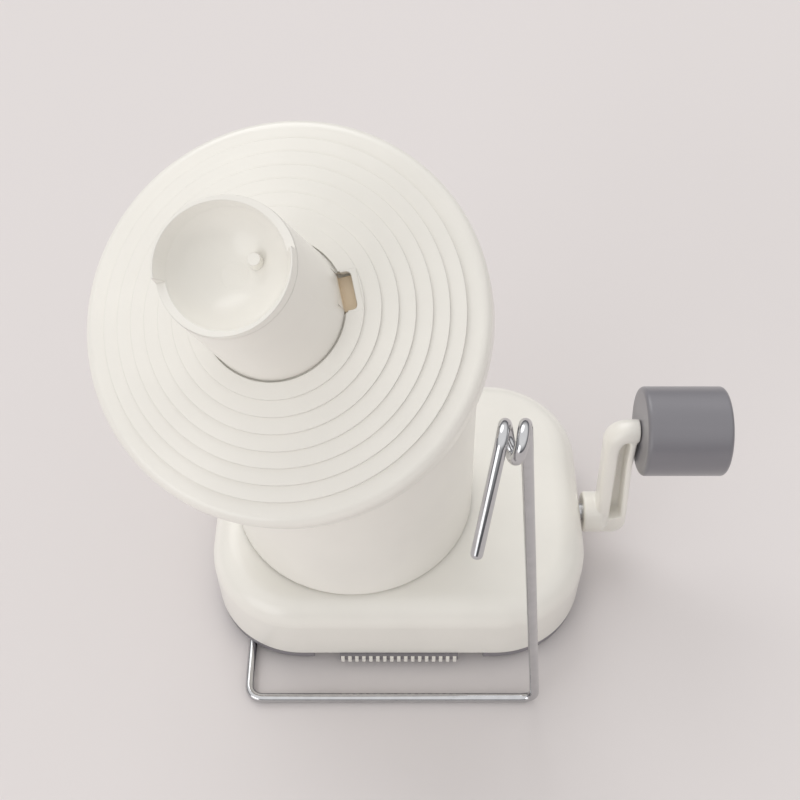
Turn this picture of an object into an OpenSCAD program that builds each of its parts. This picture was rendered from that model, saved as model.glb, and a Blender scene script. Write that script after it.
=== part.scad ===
// Hand-cranked yarn ball winder on a suction base.
// The crank turns a drum through a bevel pair. The drum carries a tilted spindle, whose pinion rolls
// round a fixed gear on the centre post, so the plate and the spool wobble and spin as the drum turns.
// Millimetres, +Z up. Parts are drawn from the drum's upright axis on the table, and then placed so
// that the origin is the middle of the whole object's box, on the table.

/* [Base] */
// Width of the base, left to right
base_w = 123; // [116:1:145]
// Depth of the base, front to back
base_d = 96; // [94:1:118]
// Plan radius of the base's corners
base_corner = 30; // [24:1:40]
// Height of the base's top above the table
base_h = 32; // [31:0.5:38]
// Rounding of the base's top edge
base_round = 9; // [4:0.5:14]
// Base centre, to the right of the drum's axis
base_off_x = 14.7; // [10:0.1:20]
// Base centre, behind the drum's axis
base_off_y = 2; // [0:0.5:6]
// Wall of the upper shell
shell_wall = 2.5; // [1.5:0.1:3]
// Height of the lower casing's edge above the table
casing_low = 3; // [2:0.1:4]
// Height of the grey band under the shell
casing_band = 3.2; // [2.8:0.1:4]
// Setback of the grey band from the shell's face
casing_inset = 0.3; // [0.2:0.1:2]
// Height of the hollow under the floor
floor_low = 7.2; // [7:0.1:8]
// Thickness of the floor
floor_t = 1.8; // [1.2:0.1:2.2]

/* [Suction foot] */
// Radius of the rubber cup
cup_r = 37; // [30:0.5:39]
// Thickness of the cup at its middle
cup_t = 3.4; // [2.6:0.1:3.6]
// Width of the ribbed grip
grip_w = 39; // [28:1:46]
// Number of ribs on the grip
grip_ribs = 17; // [9:1:21]
// Travel of the grip each way
grip_travel = 8; // [4:0.5:9]
// Rise of the wedge for each millimetre of travel
wedge_slope = 0.1; // [0.05:0.01:0.12]

/* [Drum] */
// Radius of the drum at its foot
drum_r = 39; // [36:0.5:41]
// Inward draft of the drum's wall, in degrees
drum_draft = 1; // [0:0.25:2]
// Wall of the drum
drum_wall = 2.2; // [1.6:0.1:3]
// Thickness of the drum's slanted lid
lid_t = 2.2; // [1.6:0.1:2.6]
// Thickness of the thrust washer under the drum
washer_t = 0.8; // [0.5:0.1:1.5]
// Radius of the centre post
post_r = 3; // [2.5:0.1:3.2]

/* [Spindle and plate] */
// Tilt of the spindle from upright, in degrees
tilt = 31; // [26:0.5:33]
// Way the spindle lies from the drum's axis, in degrees
spindle_dir = 165; // [0:1:359]
// Height at which the spindle passes the post
cross_h = 108; // [104:0.5:114]
// Radius of the spindle
spindle_r = 3; // [2.5:0.1:3.2]
// Radius of the plate
plate_r = 55.5; // [52:0.5:57]
// Wall of the plate
plate_wall = 2; // [1.5:0.1:2.5]
// Radius of the plate's innermost step
step_r = 23.5; // [22:0.5:26]
// Distance from one step to the next
step_pitch = 4.25; // [3.5:0.05:4.4]
// Number of steps
step_count = 7; // [4:1:7]
// Fall at each step's edge
step_drop = 0.8; // [0.4:0.1:1]
// Fall of the land between two steps
land_drop = 0.65; // [0.3:0.05:0.9]

/* [Spool] */
// Radius of the spool at its foot
spool_foot_r = 18.6; // [17:0.1:20]
// Radius of the spool at its mouth
spool_mouth_r = 16; // [14:0.1:17]
// Height of the spool to the middle of its mouth
spool_h = 45; // [40:1:56]
// Wall of the spool
spool_wall = 2.2; // [1.6:0.1:3]
// Width of the lip round the spool's mouth
lip_w = 1.2; // [0.8:0.1:4]
// Depth of the bowl in the spool's mouth
bowl_depth = 10; // [8:0.5:14]
// Height of the yarn-catching step in the mouth's rim
rim_step = 3.6; // [2:0.2:6]
// Way the rim's steps and the latch face, in degrees
latch_dir = 25; // [0:1:359]
// Width of the latch
latch_w = 11; // [8:0.5:13]
// Travel of the latch when it is pressed
latch_travel = 1.2; // [0.6:0.1:1.4]

/* [Crank] */
// Depth of the crank's axis below the base's top
crank_drop = 12; // [11.8:0.1:12.2]
// Radius of the crank's shaft
shaft_r = 3; // [2.5:0.1:3.2]
// Throw of the crank
throw = 46.5; // [40:0.5:60]
// Width of the arm, along the shaft
arm_w = 11.4; // [10:0.2:12.4]
// Depth of the arm, across the shaft
arm_d = 8.4; // [7.6:0.2:10]
// Wall of the arm's channel on the side of the base
arm_wall = 4; // [2.4:0.1:4.6]
// Wall of the arm's channel on the side of the knob
arm_wall_out = 2.6; // [1.5:0.1:3]
// Depth of the arm's channel
arm_channel = 4.6; // [3:0.1:5.4]
// Lean of the arm's top towards the base
arm_lean = 4.2; // [0:0.1:4.4]
// Radius of the knob
knob_r = 14; // [12:0.5:16]
// Length of the knob
knob_l = 26; // [22:0.5:34]

/* [Gears] */
// Module of the crank's bevel pair
bevel_m = 1; // [0.9:0.02:1.02]
// Teeth of the crank's bevel gear
crank_teeth = 20; // [18:1:20]
// Teeth of the drum's bevel gear
drum_teeth = 14; // [14:1:16]
// Face width of the bevel pair
bevel_face = 4.5; // [3.5:0.1:4.6]
// Module of the spindle's pair
helix_m = 0.8; // [0.75:0.01:0.85]
// Teeth of the fixed gear on the post
sun_teeth = 16; // [15:1:18]
// Teeth of the spindle's pinion
pinion_teeth = 14; // [13:1:16]

/* [Wire guide] */
// Diameter of the wire
wire_d = 3; // [2.5:0.1:3.4]
// Left leg of the wire, in from the base's left side
leg_in = 12.8; // [11:0.2:18]
// Front run of the wire, ahead of the drum's axis
run_y = 59.6; // [57:0.2:64]
// Foot of the rod, right of the drum's axis
rod_x = 58.8; // [55:0.2:64]
// Lean of the rod towards the middle
rod_lean = 15; // [0:0.5:16]
// Height of the eyelet's middle
eye_h = 146.8; // [140:0.2:152]
// Mean radius of the eyelet's turns
eye_r = 3.9; // [3.6:0.1:6]
// Step of the eyelet from one turn to the next
eye_pitch = 4.6; // [4:0.1:6]
// Length of the free end
tail_l = 21; // [10:1:30]

/* [Fits] */
// Radial clearance of a shaft that turns
run_fit = 0.06; // [0.03:0.01:0.1]
// Gap between parts that move past each other
move_gap = 0.3; // [0.2:0.05:0.4]
// Share of the gear pitch that a tooth fills
tooth_fill = 0.42; // [0.36:0.01:0.44]

/* [Hidden] */
$fn = 64;
white = [0.93, 0.92, 0.89];
grey = [0.55, 0.55, 0.58];
dark = [0.20, 0.20, 0.21];
steel = [0.75, 0.76, 0.78];
nylon = [0.85, 0.84, 0.78];
brass = [0.78, 0.66, 0.38];
far = 400;

// Heights inside the base
shell_low = casing_low + casing_band;
floor_top = floor_low + floor_t;
shell_ceiling = base_h - shell_wall;
drum_low = base_h + washer_t;
crank_h = base_h - crank_drop;
// The base's right face
base_right = base_off_x + base_w / 2;

// Crank's bevel pair: the pitch cones meet on the drum's axis at the height of the crank
crank_pr = bevel_m * crank_teeth / 2;
drum_pr = bevel_m * drum_teeth / 2;
cone_len = sqrt(crank_pr * crank_pr + drum_pr * drum_pr);
cone_scale = (cone_len - bevel_face) / cone_len;
bevel_tip = 0.65 * bevel_m;
bevel_root = 1.1 * bevel_m;
drum_gear_top = crank_h + crank_pr;
gear_well_w = 2 * crank_pr + 2;
gear_neck_r = drum_pr - bevel_root - 0.2;
gear_neck_h = bevel_tip + 0.6;
gear_flange_r = drum_pr + 1.5;
top_hole_r = crank_pr + 3;
bracket_x = drum_pr + 27;
gear_hub_l = 6;
collar_l = 3;

// Spindle's pair: an upright fixed gear and a helical pinion, crossed at the angle of tilt
sun_pr = helix_m * sun_teeth / 2;
pinion_pr = helix_m * pinion_teeth / cos(tilt) / 2;
helix_tip = 0.7 * helix_m;
helix_root = 1.15 * helix_m;
mesh_gap = 0.1;
spindle_off = sun_pr + pinion_pr + mesh_gap;
sun_low = cross_h - 3.5;
sun_h = 5.5;
pinion_low = -3;
pinion_h = 5.5;

// Levels along the spindle, counted from where it passes the post
lid_top = 10.5;
lid_low = lid_top - lid_t;
plate_low = lid_top + 4.4;
rim_h = 7.5;
rim_round = 3.2;
step_fall = step_drop + land_drop;
plate_edge = plate_low + rim_h;
band_in = step_r + step_pitch * (step_count - 1);
band_top = plate_edge + rim_round;
plate_top = band_top + step_fall * step_count;
mouth_top = plate_top + spool_h;
spindle_top = plate_top + 18;
hub_r = 7;
boss_r = 6.5;
boss_low = -25;
boss_top = -6.5;
spindle_low = -16;
bulkhead_h = cross_h - 22;
bulkhead_t = 2.4;

// Suction foot
cup_x = base_off_x;
cup_y = base_off_y;
tongue_w = 15;
stem_r = 2.5;
stem_flange_r = 5;
stem_flange_t = 1.3;
stem_foot = 1.4;
// The stem's foot stays under the slider at the top of its lift
stem_foot_h = cup_t + 0.1 - wedge_slope * grip_travel - stem_foot;
wedge_mid = 5;
grip_y = base_off_y - base_d / 2;

// Crank
hub_gap = 1.2;
hub_set = 3.5;
hub_in = base_right + hub_gap;
arm_in = hub_in + hub_set;
hub_len = 8;
arm_hub_r = 7;
arm_out = arm_in + arm_w;
shaft_in = drum_pr - 1.6;
shaft_end = arm_in + hub_len - 3;
arm_top = throw + arm_d / 2;
arm_round = arm_w / 2 - 0.1;
knob_pin_r = 1.5;
pin_in = arm_in - arm_lean + 3;
knob_stub = 1.6;
knob_in = arm_out - arm_lean + knob_stub + move_gap;
knob_edge = 1.4;
knob_recess = 3;

// Wire guide
wire_r = wire_d / 2;
leg_x = base_w / 2 - base_off_x - leg_in;
leg_back = 26;
wire_bend = 5;
eye_turn = 488;
tail_slope = eye_turn - 360;
wire_sides = 16;
eye_steps = 48;
end_rings = 4;

// Moves a part from the drum's axis to the object's own frame
module placed() { translate(-origin) children(); }

// Places a child in the base's own frame, at the middle of its plan
module on_base() { translate([base_off_x, base_off_y, 0]) children(); }

// Places a child in the spindle's frame: +Z up the spindle, +X from the spindle towards the post
module on_spindle() {
    translate([spindle_off * cos(spindle_dir), spindle_off * sin(spindle_dir), cross_h])
        rotate([tilt, 0, spindle_dir + 180]) children();
}

// Places a child on the crank's axis: +Z out of the base's right side, +X up
module on_crank(x) { translate([x, 0, crank_h]) rotate([0, 90, 0]) mirror([1, 0, 0]) children(); }

// Half of a rounded block's section: a wall at half width, with its top edge rounded
module block_section(half, h, round_r) {
    square([half - round_r, h]);
    square([half, h - round_r]);
    translate([half - round_r, h - round_r]) intersection() {
        circle(round_r);
        square(round_r);
    }
}

// Block with a rounded plan and a rounded top edge
module rounded_block(w, d, corner, h, round_r) {
    for (i = [0:3])
        translate([(i == 0 || i == 3 ? 1 : -1) * (w / 2 - corner), (i < 2 ? 1 : -1) * (d / 2 - corner), 0])
            rotate([0, 0, 90 * i]) rotate_extrude(angle = 90) block_section(corner, h, round_r);
    for (s = [0, 1]) {
        rotate([90, 0, 180 * s]) translate([0, 0, corner - d / 2]) linear_extrude(d - 2 * corner)
            block_section(w / 2, h, round_r);
        rotate([90, 0, 90 + 180 * s]) translate([0, 0, corner - w / 2]) linear_extrude(w - 2 * corner)
            block_section(d / 2, h, round_r);
    }
}

// Flat rounded rectangle
module rounded_plan(w, d, corner) {
    square([w - 2 * corner, d], center = true);
    square([w, d - 2 * corner], center = true);
    for (x = [-1, 1], y = [-1, 1]) translate([x * (w / 2 - corner), y * (d / 2 - corner)]) circle(corner);
}

// Outline of the base, drawn in by an amount
module base_plan(inset) { rounded_plan(base_w - 2 * inset, base_d - 2 * inset, base_corner - inset); }

module ring(r_out, r_in, h) {
    difference() {
        cylinder(r = r_out, h = h);
        translate([0, 0, -1]) cylinder(r = r_in, h = h + 2);
    }
}

// Straight-sided gear outline; slot true puts a gap, not a tooth, on +X
module gear_plan(teeth, pitch_r, pitch, tip, root, slot) {
    half = tooth_fill * pitch / 2;
    lean = tan(20);
    tip_a = (half - tip * lean) / (pitch_r + tip) * 180 / PI;
    root_a = (half + root * lean) / (pitch_r - root) * 180 / PI;
    start = slot ? 180 / teeth : 0;
    polygon([for (i = [0:teeth - 1], k = [[-root_a, -root], [-tip_a, tip], [tip_a, tip], [root_a, -root]])
        let (a = start + 360 / teeth * i + k[0], r = pitch_r + k[1]) [r * cos(a), r * sin(a)]]);
}

// Bevel gear from its large end at z = 0 towards the cones' meeting point
module bevel_gear(teeth, pitch_r, height, slot) {
    linear_extrude(height * (1 - cone_scale), scale = cone_scale)
        gear_plan(teeth, pitch_r, PI * bevel_m, bevel_tip, bevel_root, slot);
}

// Places of the casing's screws, in the base's frame
screw_in = 24;
screw_x = base_w / 2 - screw_in;
screw_y = base_d / 2 - screw_in;
module at_screws() {
    on_base() for (x = [-1, 1], y = [-1, 1]) translate([x * screw_x, y * screw_y, 0]) children();
}
screw_r = 1.4;
screw_head_r = 2.8;
screw_head_h = 1.6;
screw_boss_r = 4;
screw_len = 8;

module upper_shell() {
    placed() color(white) difference() {
        union() {
            on_base() difference() {
                translate([0, 0, shell_low])
                    rounded_block(base_w, base_d, base_corner, base_h - shell_low, base_round);
                translate([0, 0, shell_low - 1])
                    rounded_block(base_w - 2 * shell_wall, base_d - 2 * shell_wall,
                        base_corner - shell_wall, shell_ceiling - shell_low + 1, base_round - shell_wall);
            }
            at_screws() translate([0, 0, floor_top])
                cylinder(r = screw_boss_r, h = shell_ceiling - floor_top + 0.5);
            // Boss inside the right wall, for the crank's bush
            on_crank(base_right - bush_l) cylinder(r = shaft_r + 5, h = bush_l - 1);
        }
        at_screws() translate([0, 0, floor_top - 1]) cylinder(r = screw_r + 0.02, h = screw_len + 2);
        translate([0, 0, shell_ceiling - 1]) cylinder(r = top_hole_r, h = far);
        on_crank(base_right - 2 * bush_l) cylinder(r = shaft_r + 2, h = 4 * bush_l);
    }
}

bracket_t = 5;
bracket_w = 14;
module lower_casing() {
    placed() color(grey) difference() {
        union() {
            on_base() translate([0, 0, casing_low]) linear_extrude(casing_band) base_plan(casing_inset);
            on_base() translate([0, 0, shell_low]) linear_extrude(floor_top - shell_low)
                base_plan(shell_wall + 0.15);
        }
        // Hollow for the cup, stopped by a rib that the cup bears on
        on_base() translate([0, 0, casing_low - 1]) linear_extrude(floor_low - casing_low + 1)
            base_plan(shell_wall + 2.6);
        // Way for the slider and its grip
        translate([cup_x - tongue_w / 2 - grip_travel - move_gap, grip_y - 5, casing_low - 1])
            cube([tongue_w + 2 * (grip_travel + move_gap), 12, floor_low - casing_low + 1]);
        translate([cup_x - grip_w / 2 - grip_travel - move_gap, grip_y - 5, casing_low - 1])
            cube([grip_w + 2 * (grip_travel + move_gap), 5 + slider_back + move_gap,
                shell_low - casing_low + 1]);
        // Well under the crank's gear
        translate([drum_pr * cone_scale - 1, -gear_well_w / 2, floor_low - 1])
            cube([drum_pr * (1 - cone_scale) + 2, gear_well_w, far]);
        at_screws() translate([0, 0, floor_low - 1]) cylinder(r = screw_r + 0.15, h = far);
        translate([cup_x, cup_y, floor_low - 1]) cylinder(r = stem_r + run_fit, h = far);
        translate([0, 0, floor_low + 0.6]) cylinder(r = post_r + 0.02, h = far);
        // Way for the wire's leg
        translate([-leg_x, grip_y - 5, wire_r]) rotate([-90, 0, 0])
            cylinder(r = wire_r + 0.1, h = leg_back + 30);
    }
    placed() color(grey) {
        // Clip for the wire's leg, under the floor
        difference() {
            translate([-leg_x - clip_w / 2, -clip_front, clip_low])
                cube([clip_w, clip_len, floor_low - clip_low]);
            translate([-leg_x, -clip_front - 1, wire_r]) rotate([-90, 0, 0])
                cylinder(r = wire_r + 0.1, h = clip_len + 2);
        }
        // Posts that press on the cup's shoulder
        for (a = [30, 90, 150]) translate([cup_x + cup_hold_r * cos(a), cup_y + cup_hold_r * sin(a), cup_t])
            cylinder(r = 2.5, h = floor_low - cup_t);
        // Socket for the foot of the centre post
        translate([0, 0, floor_top - 0.5]) ring(post_r + 1.6, post_r + 0.02, 2.5);
    }
}
slider_back = 4;
clip_w = 7;
clip_len = 13;
clip_front = 34;
clip_low = 0.4;
cup_hold_r = 24;

module casing_screws() {
    placed() color(steel) at_screws() {
        translate([0, 0, floor_low - screw_head_h]) difference() {
            cylinder(r = screw_head_r, h = screw_head_h);
            for (a = [0, 90]) rotate(a) translate([-1.8, -0.4, -1]) cube([3.6, 0.8, 1.8]);
        }
        translate([0, 0, floor_low - 0.1]) cylinder(r = screw_r, h = screw_len);
    }
}

foot_r = 5;
foot_side = 26;
foot_front = 11;
foot_x = base_w / 2 - foot_side;
foot_y = base_d / 2 - foot_front;
module rubber_feet() {
    placed() color(dark) on_base() for (x = [-1, 1], y = [-1, 1])
        translate([x * foot_x, y * foot_y, 0]) rotate_extrude()
            polygon([[0, 0], [foot_r - 1, 0], [foot_r, 1], [foot_r, floor_low], [0, floor_low]]);
}

module suction_cup() {
    hole_r = stem_flange_r + move_gap;
    placed() color(dark) translate([cup_x, cup_y, 0]) rotate_extrude()
        polygon([[hole_r, cup_t - 1.6], [cup_r - 7, 1.4], [cup_r - 1.5, 0], [cup_r, 0], [cup_r - 4, 2],
            [cup_hold_r + 4, cup_t], [hole_r, cup_t]]);
}

// Top of the wedge over the cup's middle
module above_wedge(gap) {
    translate([cup_x, cup_y, wedge_mid + gap]) rotate([0, atan(wedge_slope), 0])
        translate([-far / 2, -far / 2, 0]) cube([far, far, far / 4]);
}

module suction_stem() {
    placed() color(nylon) translate([cup_x, cup_y, 0]) {
        translate([0, 0, stem_foot]) cylinder(r = stem_flange_r, h = stem_foot_h);
        translate([0, 0, stem_foot]) cylinder(r = stem_r, h = 9.8);
    }
    placed() color(nylon) intersection() {
        translate([cup_x, cup_y, wedge_mid - 2]) cylinder(r = stem_flange_r, h = 2 + stem_flange_t);
        above_wedge(0.1);
    }
}

module suction_slider() {
    rib_pitch = grip_w / grip_ribs;
    grip_t = shell_low - move_gap - casing_low - 0.2;
    slot_l = 2 * (stem_r + grip_travel + move_gap);
    wedge_l = 2 * (stem_flange_r + grip_travel);
    placed() color(white) {
        // Ribbed grip under the front edge
        translate([cup_x - grip_w / 2, grip_y - 1, casing_low + 0.2]) cube([grip_w, slider_back, grip_t]);
        for (i = [0:grip_ribs - 1]) translate([cup_x - grip_w / 2 + rib_pitch * (i + 0.25), grip_y - 1.8,
            casing_low + 0.2]) cube([rib_pitch / 2, 1.5, grip_t]);
        // Tongue back to the stem, with a sloped top that lifts the stem's flange
        difference() {
            translate([cup_x - tongue_w / 2, grip_y + 1, cup_t + 0.2])
                cube([tongue_w, cup_y - grip_y - stem_flange_r - 2, wedge_mid + 0.9 - cup_t - 0.2]);
            above_wedge(0);
        }
        difference() {
            translate([cup_x - wedge_l / 2, cup_y - stem_flange_r - 1.5, cup_t + 0.2])
                cube([wedge_l, 2 * (stem_flange_r + 1.5), 5]);
            above_wedge(0);
            translate([cup_x - slot_l / 2, cup_y - stem_r - move_gap, 0])
                cube([slot_l, 2 * (stem_r + move_gap), far]);
        }
    }
}

module center_post() {
    placed() color(steel) translate([0, 0, floor_low + 0.6]) difference() {
        cylinder(r = post_r, h = sun_low + 1 - floor_low - 0.6);
        translate([0, 0, sun_low - floor_low - 9]) cylinder(r = screw_r + 0.02, h = far);
    }
}

sun_hub_r = 4.2;
sun_hub_h = 4;
module fixed_gear() {
    placed() color(nylon) difference() {
        union() {
            translate([0, 0, sun_low]) linear_extrude(sun_h) rotate(spindle_dir)
                gear_plan(sun_teeth, sun_pr, PI * helix_m, helix_tip, helix_root, false);
            translate([0, 0, sun_low - sun_hub_h]) cylinder(r = sun_hub_r, h = sun_hub_h + 1);
        }
        translate([0, 0, sun_low - far]) cylinder(r = post_r + 0.02, h = far + 1);
        translate([0, 0, sun_low]) cylinder(r = screw_r + 0.15, h = far);
    }
}

module post_screw() {
    placed() color(steel) {
        translate([0, 0, sun_low + sun_h]) difference() {
            cylinder(r = 2.4, h = 1.3);
            translate([-2, -0.35, 0.6]) cube([4, 0.7, 1]);
        }
        translate([0, 0, sun_low - 6]) cylinder(r = screw_r, h = sun_h + 6.1);
    }
}

washer_w = 7;
module thrust_washer() {
    placed() color(nylon) translate([0, 0, base_h]) ring(top_hole_r + washer_w, top_hole_r + 0.5, washer_t);
}

module shaft_bracket() {
    placed() color(nylon) difference() {
        translate([bracket_x, -bracket_w / 2, floor_top])
            cube([bracket_t, bracket_w, crank_h - floor_top + 6]);
        on_crank(bracket_x - 1) cylinder(r = shaft_r + run_fit, h = bracket_t + 2);
    }
}

bush_flange = 2;
bush_l = 8;
module wall_bushing() {
    placed() color(nylon) on_crank(base_right - bush_l) difference() {
        union() {
            cylinder(r = shaft_r + 1.95, h = bush_l - 0.4);
            translate([0, 0, -bush_flange]) cylinder(r = shaft_r + 4, h = bush_flange);
        }
        translate([0, 0, -bush_flange - 1]) cylinder(r = shaft_r + run_fit, h = far);
    }
}

// Everything on the lower side of a level across the spindle
module below_level(s) { on_spindle() translate([-far, -far, s - far]) cube([2 * far, 2 * far, far]); }

// Drum wall, drawn in by an amount
module drum_cone(inset, low) {
    height = 130;
    translate([0, 0, low]) cylinder(r1 = drum_r - inset - (low - drum_low) * tan(drum_draft),
        r2 = drum_r - inset - (low - drum_low + height) * tan(drum_draft), h = height);
}

drum_floor = 2.4;
lid_lip = 0.15;
// Places of the lid's screws, round the spindle
module at_lid_screws() {
    on_spindle() for (a = [20, 140, 260])
        translate([spindle_off + lid_screw_r * cos(a),
            lid_low * tan(tilt) + lid_screw_r / cos(tilt) * sin(a), 0]) children();
}
lid_screw_r = drum_r - drum_wall - 5.3;
lid_post_l = 11;
floor_hole_r = 6;
floor_hole_at = 28;

module drum_body() {
    hub_top = sun_low - sun_hub_h - 0.4;
    placed() color(white) difference() {
        union() {
            difference() {
                intersection() {
                    drum_cone(0, drum_low);
                    below_level(lid_low);
                }
                drum_cone(drum_wall, drum_low + drum_floor);
            }
            translate([0, 0, drum_low]) cylinder(r = hub_r, h = hub_top - drum_low);
            // Bulkhead, with the spindle's lower bearing standing on it
            intersection() {
                translate([0, 0, bulkhead_h]) cylinder(r = drum_r, h = bulkhead_t);
                drum_cone(drum_wall / 2, drum_low);
            }
            intersection() {
                on_spindle() translate([0, 0, boss_low]) cylinder(r = boss_r, h = boss_top - boss_low);
                translate([-far / 2, -far / 2, bulkhead_h]) cube(far);
            }
            // Screw posts for the lid, grown out of the wall
            intersection() {
                at_lid_screws() translate([0, 0, lid_low - lid_post_l]) cylinder(r = 4, h = lid_post_l);
                drum_cone(drum_wall / 2, drum_low);
            }
        }
        translate([0, 0, drum_low - 1]) cylinder(r = post_r + run_fit, h = far);
        on_spindle() translate([0, 0, spindle_low - 0.3]) cylinder(r = spindle_r + run_fit, h = far);
        for (a = [0:60:300]) rotate(a) translate([floor_hole_at, 0, drum_low - 1])
            cylinder(r = floor_hole_r, h = drum_floor + 2);
        at_lid_screws() translate([0, 0, lid_low - screw_len]) cylinder(r = screw_r + 0.02, h = far);
    }
}

module drum_lid() {
    placed() color(white) difference() {
        intersection() {
            drum_cone(0, drum_low);
            below_level(lid_top);
            on_spindle() translate([-far, -far, lid_low]) cube([2 * far, 2 * far, far]);
        }
        on_spindle() translate([0, 0, lid_low - 1]) cylinder(r = spindle_r + 2, h = far);
        at_lid_screws() translate([0, 0, lid_low - 1]) cylinder(r = screw_r + 0.15, h = far);
    }
}

module lid_screws() {
    placed() color(steel) at_lid_screws() {
        translate([0, 0, lid_top]) difference() {
            cylinder(r = 2.4, h = 1.3);
            translate([-2, -0.35, 0.6]) cube([4, 0.7, 1]);
        }
        translate([0, 0, lid_low - screw_len + 1]) cylinder(r = screw_r, h = lid_t + screw_len - 0.9);
    }
}

module drum_gear() {
    placed() color(nylon) difference() {
        union() {
            translate([0, 0, drum_gear_top]) mirror([0, 0, 1])
                bevel_gear(drum_teeth, drum_pr, crank_pr, true);
            translate([0, 0, drum_gear_top]) cylinder(r = gear_neck_r, h = drum_low - drum_gear_top);
            translate([0, 0, drum_gear_top + gear_neck_h])
                cylinder(r = gear_flange_r, h = drum_low - drum_gear_top - gear_neck_h);
        }
        cylinder(r = post_r + run_fit, h = far);
    }
}

module spindle_shaft() {
    placed() color(steel) on_spindle() translate([0, 0, spindle_low])
        cylinder(r = spindle_r, h = spindle_top - spindle_low);
}

module spindle_pinion() {
    // The teeth lean with the spindle's tilt, so that they stand upright where they meet the fixed gear
    twist = pinion_h * tan(tilt) / pinion_pr * 180 / PI;
    placed() color(nylon) on_spindle() difference() {
        union() {
            translate([0, 0, pinion_low]) rotate(pinion_low * twist / pinion_h)
                linear_extrude(pinion_h, twist = -twist, slices = 8)
                gear_plan(pinion_teeth, pinion_pr, PI * helix_m / cos(tilt), helix_tip, helix_root, true);
            translate([0, 0, pinion_low - 3.3]) cylinder(r = spindle_r + 1.6, h = 3.5);
        }
        translate([0, 0, -far]) cylinder(r = spindle_r + 0.02, h = 2 * far);
    }
}

module spindle_bushing() {
    placed() color(brass) on_spindle() difference() {
        union() {
            translate([0, 0, lid_low]) cylinder(r = spindle_r + 1.95, h = lid_t + 0.6);
            translate([0, 0, lid_low - 1.5]) cylinder(r = spindle_r + 3, h = 1.5);
        }
        cylinder(r = spindle_r + run_fit, h = far);
    }
}

// Section of the plate's upper face, from the spool's foot out to the rim
function step_points() = [for (i = [0:step_count - 1], k = [0, 1])
    [step_r + step_pitch * i, plate_top - land_drop - step_fall * i - step_drop * k]];

module plate() {
    inner_slope = (plate_top - band_top) / (plate_r - step_r);
    inner_top = plate_top - plate_wall - land_drop;
    shank_low = lid_top + 0.9;
    placed() color(white) on_spindle() difference() {
        union() {
            rotate_extrude($fn = 128) difference() {
                union() {
                    polygon(concat([[0, plate_low], [0, plate_top], [spool_foot_r + 0.6, plate_top]],
                        step_points(), [[band_in + 0.01, band_top - 0.4],
                        [plate_r - rim_round, plate_edge + rim_round * 0.72],
                        [plate_r - rim_round, plate_low]]));
                    translate([plate_r - rim_round, plate_edge - 0.28 * rim_round]) intersection() {
                        circle(rim_round);
                        square(rim_round);
                    }
                    translate([plate_r - rim_round - 1, plate_low])
                        square([rim_round + 1, plate_edge - 0.28 * rim_round - plate_low]);
                }
                polygon([[0, plate_low - 1], [0, inner_top], [step_r - 1, inner_top],
                    [plate_r - plate_wall - rim_round, band_top - plate_wall - 1.4],
                    [plate_r - plate_wall, plate_edge - rim_round], [plate_r - plate_wall, plate_low - 1]]);
            }
            translate([0, 0, shank_low]) cylinder(r = 6, h = plate_top - 1 - shank_low);
            // Ribs under the plate
            for (a = [0:60:300]) rotate(a + latch_dir + 30) translate([5, -0.8, plate_top - 8])
                cube([step_r - 4.5, 1.6, 6]);
        }
        translate([0, 0, -far]) cylinder(r = spindle_r + 0.02, h = 2 * far);
        // Groove round the spool's foot
        translate([0, 0, plate_top - groove_d])
            ring(spool_foot_r + groove_w, spool_foot_r - groove_w, groove_d + 1);
        // Window for the spool's latch
        rotate(latch_dir) translate([window_in, -latch_w / 2, plate_top - 9])
            cube([window_t, latch_w, far]);
    }
}
groove_w = 0.45;
groove_d = 0.9;
latch_face = spool_foot_r - 0.9;
latch_t = 1.6;
window_in = latch_face - latch_t - latch_travel - move_gap;
window_t = spool_foot_r + 4.3 - window_in;

module plate_nut() {
    placed() color(steel) on_spindle() translate([0, 0, plate_top]) difference() {
        cylinder(r = 5, h = 3.2, $fn = 6);
        translate([0, 0, -1]) cylinder(r = spindle_r + 0.02, h = far);
    }
}

// Rim of the spool's mouth: it climbs twice round, and falls back in a step that catches the yarn
function rim_corners(b, z, r_out, r_in) =
    [[r_out * cos(b), r_out * sin(b), z], [r_in * cos(b), r_in * sin(b), z]];
module spool_rim(low, taper, ball_r, ball_z) {
    n = 48;
    step_a = 0.8;
    skin = 0.05;
    rim_edge = 0.4;
    points = [for (h = [0, 1], i = [0:n], top = [0, 1])
        let (b = 180 * h + (180 - step_a) * i / n,
            z = top == 0 ? low : mouth_top - rim_step / 2 * cos(180 * i / n),
            r_out = spool_foot_r - taper * (z - plate_top) - skin,
            r_in = min(sqrt(ball_r * ball_r - pow(z - ball_z, 2)) + skin, r_out - rim_edge))
        each rim_corners(b, z, r_out, r_in)];
    // Corners of a section: outer low, inner low, inner high, outer high
    loop = [0, 1, 3, 2];
    sections = 2 * (n + 1);
    walls = [for (i = [0:sections - 1], k = [0:3], half = [0, 1])
        let (j = (i + 1) % sections, a = loop[k], b = loop[(k + 1) % 4])
        half == 0 ? [4 * i + a, 4 * j + b, 4 * i + b] : [4 * i + a, 4 * j + a, 4 * j + b]];
    rotate(latch_dir) polyhedron(points, walls);
}

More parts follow.
